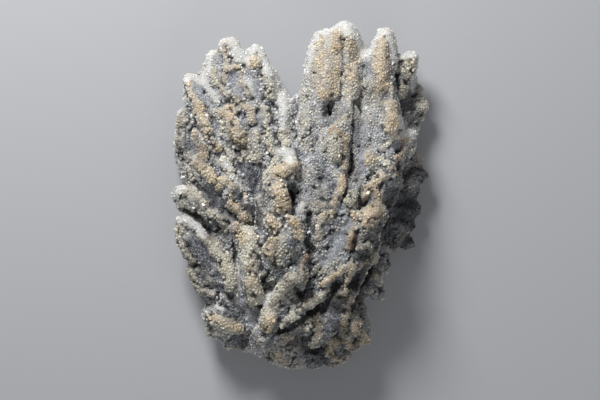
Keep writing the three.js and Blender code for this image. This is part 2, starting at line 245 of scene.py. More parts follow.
WHITE_CRESTS = [
    # the rims of the left fan's tips
    (0.7, 0.5, [(-32.8, 82.4), (-31.2, 83.6), (-29.3, 82.6), (-26.5, 79.5), (-24, 76.3)]),
    (0.7, 0.3, [(-27.6, 82.5), (-26.8, 87.7), (-24.8, 90.7)]),
    (1.2, 0.4, [(-20.4, 93.6), (-18.8, 92.8), (-17.4, 90.4), (-16.6, 88.4)]),
    (1.0, 0.3, [(-19.6, 90.2), (-18.2, 88.4)]),
    (0.7, 0.6, [(-16.2, 83), (-14.8, 80.8), (-13.4, 78.6)]),
    (0.8, 0.3, [(-14.6, 90.2), (-13.2, 91.6), (-11, 90.8), (-9.4, 88.2)]),
    (1.6, 0.6, [(-9.8, 88), (-8, 84.4), (-6.4, 81), (-5.3, 77.5), (-4.8, 74), (-4.8, 70)]),
    # its lower crystals
    (0.8, 0.5, [(-22.4, 58.2), (-20.4, 57.4)]),
    (0.6, 0.9, [(-19.8, 55.2), (-17.8, 53.6), (-16.2, 52)]),
    (1.1, 0.9, [(-35, 43.2), (-33.6, 43.6), (-32, 42.8), (-30, 41), (-27.8, 38.9)]),
    (0.9, 0.4, [(-36.4, 49.6), (-35, 51.2), (-33.6, 51.6)]),
    (0.5, 0.4, [(-26.8, 18), (-24.5, 18.2), (-22.4, 17.6)]),
    (0.6, 0.4, [(-17.6, 31), (-17.4, 27), (-17.2, 23.5)]),
    # the knobs between the fans
    (1.8, 1.2, [(-5, 61.2), (-3.4, 60.8)]),
    (1.0, 0.8, [(-1.2, 46), (0.2, 47.2)]),
    (0.8, 0.7, [(-8.8, 22.3), (-10.6, 20)]),
    # the rims of the right fan's tips
    (0.6, 0.3, [(1.2, 84), (2.2, 89), (3.2, 93), (5, 95.6)]),
    (0.9, 0.3, [(6.2, 96), (8.4, 97), (9.8, 98.2), (11.6, 98), (12.8, 95.6)]),
    (1.1, 0.5, [(13.6, 96.2), (15.8, 94), (17.2, 91.6), (18.2, 88.4)]),
    (0.8, 0.3, [(18.7, 90), (20.2, 93.6), (22.6, 96.4), (24.4, 95.4), (25.5, 92), (26, 88)]),
    (0.6, 0.5, [(26.6, 87.8), (29, 89.4), (31.4, 90.3), (32.6, 89.2)]),
    (1.4, 0.9, [(30.6, 67)]),
    (0.9, 0.7, [(28.4, 67), (30, 66.5)]),
    (0.7, 0.6, [(27.6, 71.5), (28.2, 69)]),
    (0.7, 0.5, [(31.8, 82.5), (31.5, 80)]),
]
PLAIN_CRESTS = [
    (2.0, 2.4, [(13.4, 96), (15.2, 93.7), (16.6, 91.4), (17.6, 88)]),
    (2.0, 1.5, [(16.4, 80), (16.1, 76), (16, 71), (16.6, 66)]),
    (2.2, 0.5, [(20.5, 57.5), (24.5, 57)]),
    (1.5, 0.6, [(0.5, 62), (1, 59)]),
]

# Clefts and pits between the blades: (half width, depth, points along it).
CLEFTS = [
    (0.6, 0.7, [(6.2, 93), (6, 86), (5.6, 80)]),
    (0.6, 0.7, [(17.9, 80), (17.2, 72)]),
    (0.6, 0.7, [(2.5, 75), (3, 66), (3.2, 58)]),
    (0.6, 0.8, [(6.5, 66), (6.4, 58), (6, 52)]),
    (0.6, 0.7, [(11.2, 62), (11, 56)]),
    (0.6, 0.7, [(20.2, 80), (19.6, 72), (19, 64)]),
    (0.5, 0.6, [(9.2, 76), (9.6, 70)]),
    (0.45, 1.8, [(7.7, 76.4), (7.8, 74), (8.3, 71.8)]),
    (0.8, 2.4, [(-3, 50.2), (-2.4, 48), (-2.2, 46.8)]),
    (0.55, 1.25, [(11.2, 93.5), (11.4, 86), (11, 80), (10.6, 76)]),
    (0.5, 1.6, [(14.4, 76), (14.3, 68), (13.8, 62), (13.6, 57), (13, 53), (11.8, 50)]),
    (0.8, 0.8, [(-17.5, 70.5), (-16, 67.5), (-15.6, 64), (-16, 60.5)]),
    (0.7, 1.3, [(-19.6, 36), (-18.9, 33), (-18.5, 30.5)]),
    (1.1, 2.2, [(-6.6, 11.4), (-3.5, 13), (0, 15.2), (3, 17.2), (6, 18.8), (8.2, 22), (9.6, 25.4)]),
    (1.1, 2.0, [(-1.8, 24), (-0.2, 21.6)]),
    (1.2, 1.5, [(2, 44.5), (1.8, 41), (1.8, 37), (2.6, 34)]),
    (1.0, 2.0, [(8.6, 23.8), (7.2, 20.5), (6, 17)]),
    (1.3, 2.0, [(1.2, 9.5), (1.8, 5.5), (4, 5.5)]),
    (0.8, 2.0, [(14.9, 39.5), (14.9, 35.5), (14, 34)]),
    (2.2, 3.6, [(18.4, 29), (16.8, 27), (15, 25)]),
    (0.5, 1.3, [(8.6, 8), (9.4, 5)]),
    (0.8, 1.5, [(10, 13.6), (9.3, 11)]),
    (0.7, 1.3, [(12.9, 25), (13.5, 22)]),
    (0.8, 1.3, [(-10.8, 25.4), (-9.8, 27), (-9.4, 28.5)]),
    (0.5, 0.6, [(-8.8, 74.6), (-8.4, 72.5), (-7.6, 70.5)]),
    (0.8, 1.0, [(-29.5, 52.6), (-28.3, 51), (-26.8, 48.5)]),
    (0.6, 1.4, [(-22.6, 46), (-19.5, 43.6), (-17, 42.2)]),
    (0.6, 1.6, [(-17.3, 50), (-17.6, 47.5)]),
    (0.7, 1.4, [(-13.4, 43.5), (-13, 40)]),
    (1.0, 1.6, [(-33, 45.3), (-30.2, 43.8), (-28, 41.8), (-26, 39.5)]),
    (0.6, 0.9, [(-33.3, 36), (-32.4, 33.5)]),
    (0.6, 0.9, [(-30.3, 30.2), (-28.8, 28.5), (-29.4, 26.5), (-27.5, 24.2), (-24.6, 23.4)]),
    (0.7, 0.9, [(-24.5, 24.3), (-21.5, 22), (-20, 19.5), (-17.5, 16.5), (-15, 13.5)]),
    (0.8, 1.0, [(-5.4, 5.6)]),
    (0.6, 0.45, [(-25, 71.5), (-24.3, 66)]),
    (0.4, 0.9, [(-2.6, 34.5), (-2.6, 32.3)]),
    (0.8, 1.3, [(22.8, 53.2), (21.8, 51)]),
    (0.8, 1.1, [(27, 84), (26.6, 79.5)]),
    (0.7, 1.3, [(27, 59.5), (27, 56.5)]),
    (0.5, 0.9, [(-6.4, 20.4), (-5.6, 19.4)]),
    (0.5, 0.9, [(-3.6, 23.4), (-4.4, 22.4)]),
    (0.6, 1.0, [(20, 79), (18.5, 75)]),
]

# Crystal faces that the druse left bare: (half width, points along it). The pale ones carry
# a thin frost.
GREY_FACES = [
    (1.3, [(-32.2, 64.5), (-32.6, 62.8)]),
    (0.9, [(-24.6, 71), (-24.2, 67.5)]),
    (0.8, [(-24.5, 61.8), (-23, 61.2)]),
    (2.3, [(-15.8, 57.8), (-14.8, 55), (-13, 51)]),
    (1.3, [(-12.2, 58.5), (-12, 53)]),
    (2.2, [(-26, 51), (-24, 48.5), (-22.5, 46.5)]),
    (1.2, [(-18.5, 50.8), (-17.4, 48)]),
    (1.2, [(-13.2, 47), (-12, 44.5), (-11.5, 39.5)]),
    (2.3, [(-31, 36.8), (-29, 34.5), (-26.8, 31)]),
    (1.1, [(-28.3, 26.8)]),
    (1.4, [(-23.7, 27)]),
    (0.8, [(-24, 24), (-21, 21.8)]),
    (0.8, [(-17.5, 31), (-17.3, 24)]),
    (1.6, [(-18, 9.5), (-16.8, 7.5)]),
    (1.7, [(-9.3, 7.5), (-7.3, 9.8)]),
    (1.4, [(-2.5, 36)]),
    (0.9, [(-1.6, 33.5)]),
    (1.9, [(8, 19), (10.2, 17), (8, 13)]),
    (1.3, [(7.6, 54), (8.4, 52.5)]),
    (1.1, [(-9.5, 24.5), (-8.6, 23.4)]),
    (1.8, [(19.5, 24.5)]),
    (3.6, [(26, 49), (29, 47), (31, 43)]),
    (1.3, [(34, 57.3)]),
    (1.4, [(30.5, 37.5), (29, 36)]),
]
PALE_FACES = [
    (1.2, [(-30.2, 80.6), (-28.2, 77.8), (-26.4, 75.6)]),
    (0.8, [(-23.9, 86.6), (-23.2, 82.8)]),
    (1.6, [(-19.3, 83.6), (-19, 81), (-17.8, 79)]),
    (1.1, [(-14.2, 83), (-12.8, 80.5), (-12.2, 77.5)]),
    (0.9, [(-11.9, 73), (-12.1, 69.5)]),
    (0.9, [(-24.2, 79.4), (-22.4, 77)]),
    (0.8, [(-2.6, 45.3), (-0.3, 47.2)]),
    (0.9, [(5.6, 75.4), (5.9, 73)]),
    (1.8, [(-18, 19.5), (-16, 17.2), (-14.2, 14.5)]),
    (1.5, [(13.2, 42.2), (11, 39.2), (8.4, 36.6)]),
    (1.6, [(11.6, 36.4), (9.2, 33.8), (6, 31.4)]),
    (1.4, [(24.3, 62.3), (26.6, 63.7)]),
    (1.2, [(17, 69), (16, 65)]),
    (1.0, [(17, 61), (15.8, 56)]),
    (1.2, [(18.6, 88), (18.3, 84)]),
]

# Painted shade: patches darkened in the lee of the blades: (radius, strength, points along it).
PAINTED_SHADE_PATCHES = [
    # left fan
    (5.5, 0.75, [(-34, 48), (-30.5, 43)]),
    (4.0, 0.4, [(-27, 39), (-25, 37)]),
    (3.5, 0.55, [(-36, 74), (-37, 62), (-37, 50)]),
    (3.5, 0.8, [(-34, 63), (-29, 61)]),
    (3.0, 0.75, [(-25.5, 48), (-20, 44)]),
    (3.0, 0.95, [(-27, 37), (-24, 42)]),
    (2.4, 0.7, [(-32, 44.5), (-29, 42.5)]),
    (4.0, 0.75, [(-33, 33), (-28, 25)]),
    (2.0, 0.5, [(-21, 43), (-19, 41)]),
    (1.8, 0.4, [(-11, 48), (-10, 45)]),
    (2.6, 0.9, [(-21.5, 18), (-19, 15.5)]),
    (3.5, 0.55, [(-19, 8), (-14, 9)]),
    # the knobs between the fans
    (1.8, 0.3, [(-3, 38), (-2.6, 32)]),
    (2.0, 0.4, [(-4.5, 38.5), (-4, 36)]),
    (3.2, 1.0, [(1.5, 30), (-0.5, 25)]),
    (3.0, 0.7, [(-5, 28), (-3, 24)]),
    (3.0, 0.5, [(-4, 22)]),
    (3.5, 0.45, [(0, 47), (7, 50)]),
    (2.5, 0.2, [(0, 75), (0, 71)]),
    (1.4, 0.5, [(-2.8, 50), (-2.6, 47)]),
    # right fan
    (2.4, 0.65, [(15.4, 72), (15, 64)]),
    (2.4, 0.45, [(14.8, 58), (14.4, 52)]),
    (2.4, 0.45, [(5.5, 57), (4.5, 47)]),
    (3.0, 0.55, [(10.5, 73), (8, 70.5)]),
    (2.6, 0.5, [(19, 79), (26, 77)]),
    (2.5, 0.4, [(25, 92), (26.4, 84)]),
    (4.5, 0.9, [(31, 73), (31, 78)]),
    (3.0, 0.65, [(20, 48), (25, 52)]),
    (2.0, 0.9, [(23.6, 47.5), (23.4, 41)]),
    (2.0, 0.7, [(22, 43), (21, 40)]),
    (2.6, 0.6, [(14, 24), (13, 20), (16, 16)]),
    (4.0, 0.85, [(27, 51), (31, 47)]),
    (2.5, 1.0, [(17, 38), (22, 40)]),
    (3.0, 0.8, [(14, 35.5), (18, 39)]),
    (3.5, 0.85, [(25, 47), (21, 41)]),
    (3.2, 1.0, [(16, 37), (21, 36)]),
    (2.4, 0.7, [(29, 54), (30, 50)]),
    # foot
    (5.5, 1.0, [(14, 18), (16, 26), (20, 34), (24, 42)]),
    (4.5, 1.0, [(10.5, 20.5), (14.5, 25)]),
    (4.0, 1.0, [(11, 9), (16, 17.5)]),
    (4.0, 1.0, [(-4, 11), (1, 7.5), (5, 6)]),
    (3.0, 0.9, [(3, 3), (6, 2.5)]),
]

# Iron stains: (radius, strength, points along it).
IRON = [
    (0.5, 1.0, [(28.9, 65), (28, 63.5), (27.8, 62.2)]),
    (0.6, 0.9, [(26.4, 60.3), (27.2, 59.5), (26.9, 58)]),
    (1.6, 0.45, [(20.4, 44.8), (18.6, 43.4)]),
    (1.1, 0.3, [(-22, 92.5), (-22.3, 90.5)]),
    (1.2, 0.5, [(-21.6, 92.4), (-20.2, 93.2)]),
    (1.0, 0.4, [(25, 89.5), (25.2, 84)]),
    (0.6, 0.5, [(26, 58.5), (25.2, 56.5)]),
    (0.7, 0.9, [(14.7, 39.8), (14.2, 36.5), (14.6, 34.3)]),
    (0.9, 0.8, [(15.5, 7.6)]),
    (0.9, 0.8, [(-5.4, 5.4)]),
    (0.6, 0.75, [(7.6, 67.4), (8.8, 68.5), (10.4, 67.6)]),
    (0.9, 0.3, [(9.6, 94), (9.2, 92.3), (9.9, 91.3)]),
    (0.7, 0.4, [(5.4, 94.6)]),
    (0.8, 0.6, [(6.3, 77.3)]),
    (1.1, 0.3, [(-25, 15.2), (-22.5, 14.2), (-18.5, 13.3)]),
    (1.2, 0.35, [(-10.3, 12.4)]),
    (0.9, 0.8, [(1.3, 32.3), (2, 33.5)]),
    (0.5, 0.7, [(-15.9, 46.6)]),
    (0.5, 0.6, [(-19.7, 48)]),
    (0.8, 0.6, [(13.8, 24.8)]),
    (0.8, 0.8, [(22.1, 52.2)]),
    (0.7, 0.7, [(21.8, 44.4)]),
    (0.8, 0.4, [(17.4, 30.7)]),
    (0.9, 0.4, [(-28.4, 61.8)]),
    (1.0, 0.35, [(-20.2, 71)]),
    (0.7, 0.6, [(11.7, 58), (11.9, 52)]),
    (0.7, 0.5, [(3.5, 57.4)]),
    (1.0, 0.4, [(-14.5, 29.7)]),
    (0.9, 0.45, [(-2.4, 42.3)]),
    (1.4, 0.6, [(33.4, 60), (34.2, 57.5)]),
    (1.2, 0.5, [(31, 37), (29.5, 36.5)]),
]


def placed(name, data):
    """A new object in the scene."""
    thing = bpy.data.objects.new(name, data)
    bpy.context.scene.collection.objects.link(thing)
    return thing


def baked(thing):
    """The object's mesh with its modifiers applied."""
    view = bpy.context.evaluated_depsgraph_get()
    made = bpy.data.meshes.new_from_object(
        thing.evaluated_get(view), preserve_all_data_layers=True, depsgraph=view
    )
    thing.modifiers.clear()
    return made


def remeshed(thing, voxel, passes):
    """One closed skin over the object, softened a little."""
    skin = thing.modifiers.new("skin", "REMESH")
    skin.mode = "VOXEL"
    skin.voxel_size = voxel
    soften = thing.modifiers.new("soften", "SMOOTH")
    soften.factor = 0.5
    soften.iterations = passes
    thing.data = baked(thing)


def vertex_numbers(mesh, what):
    """Each vertex's place or normal, as rows of X, Y and Z."""
    values = np.empty(3 * len(mesh.vertices), dtype=np.float32)
    if what == "place":
        mesh.vertices.foreach_get("co", values)
    else:
        mesh.vertex_normals.foreach_get("vector", values)
    return values.reshape(-1, 3).astype(float)


def move_to(mesh, places):
    mesh.vertices.foreach_set("co", places.astype(np.float32).ravel())
    mesh.update()


def ease(values, start, end):
    """0 before start, 1 after end, and smooth between."""
    share = np.clip((values - start) / (end - start), 0, 1)
    return share * share * (3 - 2 * share)


def ripple(places, size, seed):
    """Smooth noise from about -1 to 1, with features of the given size."""
    spots = places / size + seed * 7.31
    return np.array([noise.noise(Vector(p)) for p in spots]) * 1.6


def neighbour_links(mesh):
    ends = np.empty(2 * len(mesh.edges), dtype=np.int32)
    mesh.edges.foreach_get("vertices", ends)
    return ends.reshape(-1, 2)


def evened(values, links, passes):
    """The values spread over the skin: each pass takes the mean of a vertex's neighbours."""
    count = np.bincount(links.ravel(), minlength=len(values))[:, None]
    for _ in range(passes):
        total = np.zeros_like(values)
        for column in range(values.shape[1]):
            for here, there in ((0, 1), (1, 0)):
                total[:, column] += np.bincount(
                    links[:, here], values[links[:, there], column], len(values)
                )
        values = 0.5 * values + 0.5 * total / count
    return values


def relief_over(places, normals, links, passes):
    """How far each place stands out from the evened skin, in millimetres."""
    return ((places - evened(places, links, passes)) * normals).sum(1) / MM


def cells(places, size, seed, corners=0.0):
    """Cells of the given size: bumps, 1 on their tops, and the gaps between, widest at corners."""
    spots = places / size + seed * 5.17
    near = np.array([noise.voronoi(Vector(p))[0][:3] for p in spots])
    to_edge, to_corner = near[:, 1] - near[:, 0], near[:, 2] - near[:, 0]
    gaps = 1 - ease(to_edge - corners * (1 - ease(to_corner, 0.1, 0.4)), 0.02, 0.2)
    return np.clip(1 - (near[:, 0] / 0.75) ** 2, 0, 1), gaps


def on_table(places):
    """Metres in the frame as the tables' X and Y."""
    return places[:, :2] / MM - [MIDDLE_X, FOOT_Y]


def distance_to(path, flat):
    """How far each point of flat is from the path, both in the tables' millimetres."""
    ends = [np.array(p, dtype=float) for p in path]
    nearest = np.full(len(flat), np.inf)
    for start, end in zip(ends, ends[1:] or ends):
        run = end - start
        length = max(run @ run, 1e-9)
        share = np.clip((flat - start) @ run / length, 0, 1)[:, None]
        nearest = np.minimum(nearest, np.linalg.norm(flat - start - share * run, axis=1))
    return nearest


def raised(marks, flat, spread=1.0, softness=0.8):
    """The tallest of the crests at each point: round tops with steep or soft sides."""
    top = np.zeros(len(flat))
    for width, height, path in marks:
        share = np.clip(1 - (distance_to(path, flat) / (width * spread)) ** 2, 0, 1)
        top = np.maximum(top, height * share ** softness)
    return top


def spread_of(faces, flat, margin, fade):
    """1 on the faces grown by the margin, fading to 0 inwards from their edge."""
    inside = np.zeros(len(flat))
    for width, path in faces:
        inside = np.maximum(inside, ease(width + margin - distance_to(path, flat), 0, fade))
    return inside


def beside(marks, flat):
    """1 in the narrow strip along both sides of every crest, and 0 elsewhere."""
    nearest = np.full(len(flat), np.inf)
    for width, _, path in marks:
        nearest = np.minimum(nearest, distance_to(path, flat) / width)
    return ease(nearest, 0.9, 1.05) * (1 - ease(nearest, 1.3, 1.5))


def ruffled(places):
    """The places on the tables, pushed about a little, so that no outline is too smooth."""
    ruffle = np.stack([ripple(places / MM, 2.6, 1), ripple(places / MM, 2.6, 2)], 1)
    return on_table(places) + TABLE_RUFFLE * ruffle


def growth_direction(places):
    """The way that the crystals run at each place, and how far it is from the fan's middle."""
    right = ease(places[:, 0] / MM - MIDDLE_X, *FAN_SEAM)[:, None]
    away = places / MM - (LEFT_MIDDLE * (1 - right) + RIGHT_MIDDLE * right)
    reach = np.linalg.norm(away, axis=1)[:, None]
    return away / reach, reach


def calmness(places):
    """How even the growth is: 1 on the right fan's broad blades, and 0 elsewhere."""
    x, y = on_table(places).T
    right_edge = x - 0.2 * np.clip(y - 75, 0, 20)
    return ease(x, -3, 2) * ease(y, 50, 68) * (1 - ease(right_edge, 21, 25))


def frost_and_painted_glow_at(places, normals, flat, links, way):
    """Where the coat is thin, white and smooth: along the tips' rims, where the white is also
    painted rim glow, and on the white crests.

    Also how far each place stands proud of the blade's broad shape."""
    stands_proud = relief_over(places, normals, links, BROAD_PASSES)
    x, y = on_table(places).T
    # Painted rim glow: steep sides near the tips that face along the growth, in the upper part.
    rims = ease(0.75 - normals[:, 2], 0, 0.3) * ease(stands_proud, 0.0, 0.35)
    rims *= ease(normals[:, 2], -0.6, 0.1) * ease((normals * way).sum(1), -0.1, 0.25)
    rims *= 0.7 * ease(y - 0.4 * x, 60, 74)
    crests = np.clip(1.4 * raised([(w, 1, p) for w, _, p in WHITE_CRESTS], flat, 1.3), 0, 1)
    return np.maximum(crests * ease(normals[:, 2], -0.3, 0.2), rims), stands_proud


blades = cluster.data.copy()
welded = bmesh.new()
welded.from_mesh(blades)
bmesh.ops.remove_doubles(welded, verts=welded.verts, dist=0.001 * MM)
welded.to_mesh(blades)
welded.free()
body = placed("crystal_body", blades)
remeshed(body, ROUNDING_VOXEL, ROUNDING_PASSES)

# On the rough skin: ribs and knobs of the growth, then crests, clefts and sunken bare faces.
place = vertex_numbers(body.data, "place")
normal = vertex_numbers(body.data, "normal")
flat = ruffled(place)
way, reach = growth_direction(place)
frost_and_painted_glow, _ = frost_and_painted_glow_at(place, normal, flat, neighbour_links(body.data), way)
above_cut = ease(place[:, 2] / MM, 0.4, 3.0)
seen_from_above = ease(normal[:, 2], -0.25, 0.35)
bare = spread_of(GREY_FACES + PALE_FACES, flat, 0.4, 0.8)
ribs, rib_edges = cells(way * (RIB_TURN + reach / RIB_LENGTH), 1.0, 3)
knobs, knob_edges = cells(place / MM, KNOB_SIZE, 8)
calm = calmness(place)
wild = 1 - 0.65 * calm
crevices = np.maximum(rib_edges, knob_edges)
crevices *= ease(ripple(place / MM, 5.0, 12) + wild, 0.1, 0.5)
all_crests = TAN_CRESTS + CREAM_CRESTS + WHITE_CRESTS + PLAIN_CRESTS
crests = 1.15 * raised(all_crests, flat) * (1 - calm)
crests += 0.7 * raised(all_crests, flat, 1.6, 1.5) * calm
lift = RIB_HEIGHT * (ribs - 0.35) + KNOB_HEIGHT * (knobs - 0.4) * (0.3 + 0.7 * wild)
lift -= CREVICE_DEPTH * crevices * (1 - np.clip(crests, 0, 1))
lift *= (1 - 0.75 * bare * seen_from_above) * (1 - 0.85 * frost_and_painted_glow)
crests *= 0.85 + 0.3 * ripple(place / MM, 3.5, 4)
lift += (crests - raised(CLEFTS, flat)) * seen_from_above
lift -= BARE_DEPTH * bare * seen_from_above
move_to(body.data, place + normal * (lift * above_cut * MM)[:, None])
remeshed(body, SKIN_VOXEL, SKIN_PASSES)

# On the finer skin: smooth frost along the rims, ragged bare faces, and clumps and pits.
place = vertex_numbers(body.data, "place")
normal = vertex_numbers(body.data, "normal")
flat = ruffled(place)
seen_from_above = ease(normal[:, 2], -0.2, 0.3)
ragged = ripple(place / MM, 1.3, 7) + 0.6 * ripple(place / MM, 0.6, 9)
pale = spread_of(PALE_FACES, flat, 0.5 * ragged, 0.5) * seen_from_above
bare = np.maximum(pale, spread_of(GREY_FACES, flat, 0.5 * ragged, 0.5) * seen_from_above)
calm = calmness(place)
wild = 1 - 0.65 * calm
way, reach = growth_direction(place)
table_x, table_y = on_table(place).T
links = neighbour_links(body.data)
frost_and_painted_glow, broad_relief = frost_and_painted_glow_at(place, normal, flat, links, way)
place += (evened(place, links, FROST_PASSES) - place) * (0.6 * frost_and_painted_glow)[:, None]
clumps, clump_edges = cells(place / MM, CLUMP_SIZE, 10, 0.12)
pits = clump_edges * ease(ripple(place / MM, 2.2, 13) + 0.45 - 0.45 * calm, 0.5, 0.95)
outlines = beside(TAN_CRESTS + CREAM_CRESTS, flat) * seen_from_above * (1 - calm)
pits = np.maximum(pits, outlines * 0.8 * ease(ripple(place / MM, 2.4, 14) + 0.4, 0.3, 0.7))
pits *= 1 - ease(frost_and_painted_glow, 0.2, 0.5)
cleft = raised(CLEFTS, flat)
cleft = ease(cleft, 0.8, 1.8) * calm + ease(cleft, 0.5, 1.3) * (1 - calm)
pits = np.maximum(pits, 0.75 * seen_from_above * cleft)
lift = CLUMP_HEIGHT * (clumps - 0.5) * (1 - bare) * wild * (1 - 0.8 * frost_and_painted_glow)
lift += BARE_RAGGED * ragged * bare - PIT_DEPTH * pits * (1 - bare)
lift *= ease(place[:, 2] / MM, 0.4, 1.5)
place += normal * (lift * MM)[:, None]
place[:, 2] = np.maximum(place[:, 2], 0)
move_to(body.data, place)
normal = vertex_numbers(body.data, "normal")


def keep(mesh, name, values):
    """A value for each vertex, under a name that the finishes and the druse read."""
    layer = mesh.attributes.new(name, "FLOAT", "POINT")
    layer.data.foreach_set("value", values.astype(np.float32).ravel())


# What the druse and the finishes follow: where faces are bare, where grains are tan, cream,
# white or rusty, where rim glow and shade are painted, and how far a spot stands proud or lies
# deep.
fine_relief = relief_over(place, normal, links, FINE_PASSES)
patchy = ripple(place / MM, 4.0, 6)
iron = np.zeros(len(flat))
for radius, strength, path in IRON:
    fade = np.clip(1 - (distance_to(path, flat) / (radius * 1.6)) ** 2, 0, 1)
    iron = np.maximum(iron, strength * fade)
tan = np.clip(raised(TAN_CRESTS, flat, 1.25), 0, 1) * (1 - calm)
tan += np.clip(raised(TAN_CRESTS, flat, 1.8, 1.3), 0, 1) * calm
cream = np.clip(raised(CREAM_CRESTS, flat, 1.25), 0, 1)

# Painted shade: darker in the foot and the lower right, behind the right fan, down its broad
# blades, in the lee of the blades and in the clefts.
painted_shade = 0.52 * ease(-table_y, -38, -4) * (0.2 + 0.8 * ease(table_x, -12, 8))
rear = ease(table_x - 0.1 * table_y, 18, 24) * ease(-table_y, -70, -50)
painted_shade = np.maximum(painted_shade, rear * (0.7 + 0.3 * seen_from_above))
shaded = calm * ease(table_x, 0, 4) * (1 - ease(table_x, 17, 21))
painted_shade = np.maximum(painted_shade, 0.3 * shaded * ease(-table_y, -84, -56))
painted_shade = np.maximum(painted_shade, raised(PAINTED_SHADE_PATCHES, flat, 1.3, 1.5) * seen_from_above)
painted_shade = np.maximum(painted_shade, 0.7 * ease(raised(CLEFTS, flat, 1.5), 0.4, 1.4) * seen_from_above)
painted_shade = np.clip(painted_shade * (1 + 0.4 * patchy), 0, 1) * (1 - 0.7 * frost_and_painted_glow)
painted_shade *= 1 - 0.35 * np.clip(np.maximum(tan, cream), 0, 1)

hidden_tan = ease(broad_relief + 0.3 * patchy, 0.2, 1.0)
keep(body.data, "tan", np.where(seen_from_above > 0.5, tan, 0.5 * hidden_tan))
keep(body.data, "cream", cream * seen_from_above)
keep(body.data, "frost_and_painted_glow", frost_and_painted_glow)
keep(body.data, "iron", iron * seen_from_above)
keep(body.data, "bare", bare)
keep(body.data, "pale", pale)
keep(body.data, "turn", np.arctan2(way[:, 0], way[:, 1]) * LINES_ACROSS + way[:, 2] * LINES_UP)
keep(body.data, "reach", reach[:, 0] * LINES_ALONG)
grooves = 0.2 + 0.8 * ease(-distance_to(LINED_FACE, flat), -6, -3)
keep(body.data, "grooves", grooves * bare * (1 - 0.5 * pale))
keep(body.data, "painted_shade", painted_shade)
# Painted shade: the pits, clefts and low spots between the clumps are darkened.
keep(body.data, "pits", np.maximum(pits, ease(-fine_relief, 0.15, 0.4)) * (1 - bare))
keep(body.data, "relief", broad_relief + 0.35 * calm)


def shader_group(name, inputs, outputs):
    group = bpy.data.node_groups.new(name, "ShaderNodeTree")
    for kind, names in (("INPUT", inputs), ("OUTPUT", outputs)):
        for label, socket in names:
            group.interface.new_socket(label, in_out=kind, socket_type=socket)
    return group, group.nodes.new("NodeGroupInput"), group.nodes.new("NodeGroupOutput")


def node(tree, kind, inputs=None, **settings):
    """A node of the tree with its settings and its inputs, each a value or another's output."""
    made = tree.nodes.new(kind)
    for key, value in settings.items():
        setattr(made, key, value)
    for key, value in (inputs or {}).items():
        if isinstance(value, bpy.types.NodeSocket):
            tree.links.new(value, made.inputs[key])
        else:
            made.inputs[key].default_value = value
    return made


def maths(tree, operation, *values, clamp=False):
    return node(tree, "ShaderNodeMath", dict(enumerate(values)),
                operation=operation, use_clamp=clamp).outputs[0]


def scaled(tree, vector, factor):
    return node(tree, "ShaderNodeVectorMath", {0: vector, "Scale": factor},
                operation="SCALE").outputs[0]


def stretched(tree, value, low, high, to_low=0.0, to_high=1.0):
    """value from low to high as to_low to to_high, and no further."""
    return node(tree, "ShaderNodeMapRange", {
        "Value": value, "From Min": low, "From Max": high, "To Min": to_low, "To Max": to_high,
    }).outputs["Result"]


def mixed(tree, share, below, above, blend="MIX"):
    return node(tree, "ShaderNodeMix", {0: share, 6: below, 7: above},
                data_type="RGBA", blend_type=blend).outputs[2]


def noise_of(tree, where, scale, detail=2.0, roughness=0.5):
    return node(tree, "ShaderNodeTexNoise", {
        "Vector": where, "Scale": scale, "Detail": detail, "Roughness": roughness,
    }).outputs["Fac"]


# The specimen's colours, shared by the bare faces and the grains.
CREAM = (0.78, 0.73, 0.60, 1)
PALE = (0.65, 0.66, 0.67, 1)  # grains with no stain
TAN = (0.80, 0.655, 0.455, 1)
# White of the rims and crests, partly painted rim glow.
FROST_AND_GLOW_WHITE = (0.86, 0.845, 0.80, 1)  # frost
# Grains in the hollows: greyer, and darker as painted shade.
HOLLOW_GREY_AND_SHADE = (0.41, 0.43, 0.47, 1)  # grains in the hollows
SHADOWED = (0.15, 0.155, 0.18, 1)  # the skin that shows between grains
# Painted shade in the pits, clefts and hollows, and the dark of the growth lines.
PAINTED_PIT_SHADE_AND_LINES = (0.05, 0.05, 0.05, 1)  # in pits and growth lines
# Painted shade: a dark grey that darkens the colour under it.
PAINTED_SHADE = (0.18, 0.18, 0.18, 1)  # multiplies the colour under it
RUST = (0.52, 0.27, 0.12, 1)
FACE_DARK = (0.10, 0.10, 0.12, 1)
FACE_LIGHT = (0.26, 0.265, 0.30, 1)
FACE_PALE = (0.50, 0.51, 0.54, 1)

# How fine the mottling is: noise cells in a metre.
DRIFT_SCALE = 220.0
SPECK_SCALE = 800.0
GLITTER_SCALE = 2600.0

# The tints that a place can have. Each is an attribute of that name in small letters.
TINTS = ("Tan", "Cream", "Frost_and_painted_glow", "Iron", "Painted_shade", "Relief", "Bare", "Pale")

tint, told, shown = shader_group(
    "calcite tint",
    [(label, "NodeSocketFloat") for label in TINTS + ("Tone",)],
    [("Color", "NodeSocketColor")],
)
where = node(tint, "ShaderNodeTexCoord").outputs["Object"]
drift = noise_of(tint, where, DRIFT_SCALE, 3.0)
speck = noise_of(tint, where, SPECK_SCALE, 2.0)
luck = maths(tint, "MULTIPLY_ADD", told.outputs["Tone"], 0.12, -0.06)
creamy = stretched(tint, drift, 0.35, 0.65, 0.0, 0.5)
creamy = maths(tint, "ADD", creamy, told.outputs["Cream"])
creamy = maths(tint, "ADD", creamy, luck, clamp=True)
colour = mixed(tint, creamy, PALE, CREAM)
warm = maths(tint, "ADD", told.outputs["Tan"], stretched(tint, drift, 0.3, 0.7, -0.3, 0.35))
warm = maths(tint, "ADD", warm, stretched(tint, speck, 0.35, 0.65, -0.2, 0.15))
warm = maths(tint, "ADD", warm, luck, clamp=True)
colour = mixed(tint, maths(tint, "MULTIPLY", warm, 0.95), colour, TAN)
# The hollows: greyer grains, darkened as painted shade.
low = stretched(tint, told.outputs["Relief"], 0.25, -0.6, 0.0, 0.5)
colour = mixed(tint, low, colour, HOLLOW_GREY_AND_SHADE)
